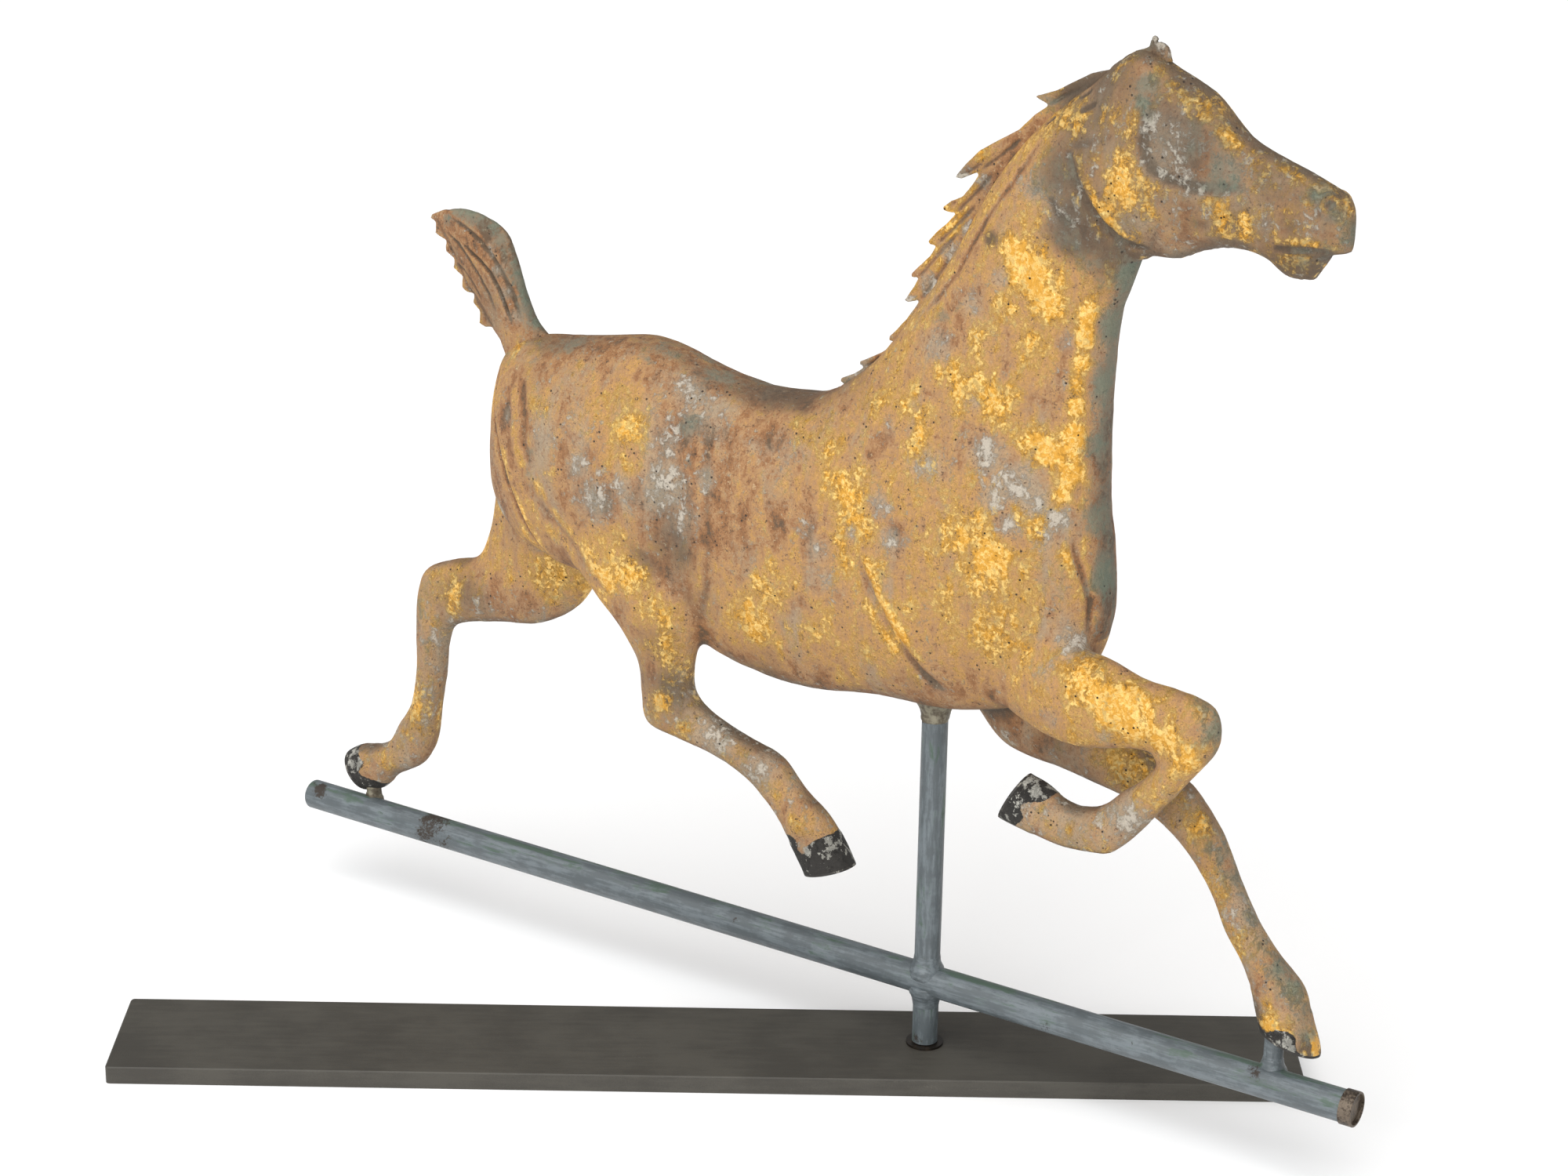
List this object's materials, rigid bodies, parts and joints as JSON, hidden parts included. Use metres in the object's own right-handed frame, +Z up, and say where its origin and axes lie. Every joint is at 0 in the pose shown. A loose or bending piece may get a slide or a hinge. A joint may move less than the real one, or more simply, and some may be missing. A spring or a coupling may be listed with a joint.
{
  "type": "weather vane",
  "caption": "Trotting-horse weather vane of hollow sheet copper on a horizontal bar, turning on a pointed spindle that stands on a flat steel display bar.",
  "frame": {"origin": "on the spindle's axis, at the base plate's underside", "axes": "+Z up along the spindle, +X along the base plate's length towards the nearer end, +Y to the rear"},
  "size_m": [0.8444, 0.49, 0.742],
  "materials": {
    "black_steel": "matt charcoal, waxed",
    "bright_steel": "turned",
    "oiled_steel": "dark, oiled",
    "grey_paint": "old blue-grey paint with green and brown stains",
    "bare_cap": "bare, browned",
    "bronze": "plain bronze",
    "solder": "grey-brown soft solder",
    "stub_metal": "dull grey sheet tube",
    "gilt_copper": "worn gilding over copper with brown and grey-green patina",
    "mane_copper": "sheet copper, brown with traces of gilding",
    "hoof_black": "worn black paint"
  },
  "bodies": {
    "stand": {"base_plate": "black_steel", "spindle_rod": "bright_steel", "foot_washer": "oiled_steel"},
    "vane": {"post_tube": "grey_paint", "bar_tube": "grey_paint", "bar_rear_cap": "grey_paint", "bar_braze_top": "grey_paint", "bar_braze_bottom": "grey_paint", "bar_front_cap": "bare_cap", "lower_bush": "bronze", "pivot_cup": "bright_steel", "saddle_plate": "bronze", "belly_collar": "solder", "heel_solder": "solder", "hoof_stub": "stub_metal", "body_right": "gilt_copper", "body_left": "gilt_copper", "head_right": "gilt_copper", "head_left": "gilt_copper", "tail_right": "gilt_copper", "tail_left": "gilt_copper", "mane_plate": "mane_copper", "ear_stub": "mane_copper", "fore_right_outer": "gilt_copper", "fore_right_inner": "gilt_copper", "sole_fore_right": "hoof_black", "fore_left_outer": "gilt_copper", "fore_left_inner": "gilt_copper", "sole_fore_left": "hoof_black", "hind_right_outer": "gilt_copper", "hind_right_inner": "gilt_copper", "sole_hind_right": "hoof_black", "hind_left_outer": "gilt_copper", "hind_left_inner": "gilt_copper", "sole_hind_left": "hoof_black"}
  },
  "joints": [
    {"name": "vane_turn", "type": "hinge", "parent": "stand", "child": "vane", "pos_m": [0, 0, 0.1], "axis": [0, 0, 1], "continuous": true}
  ]
}
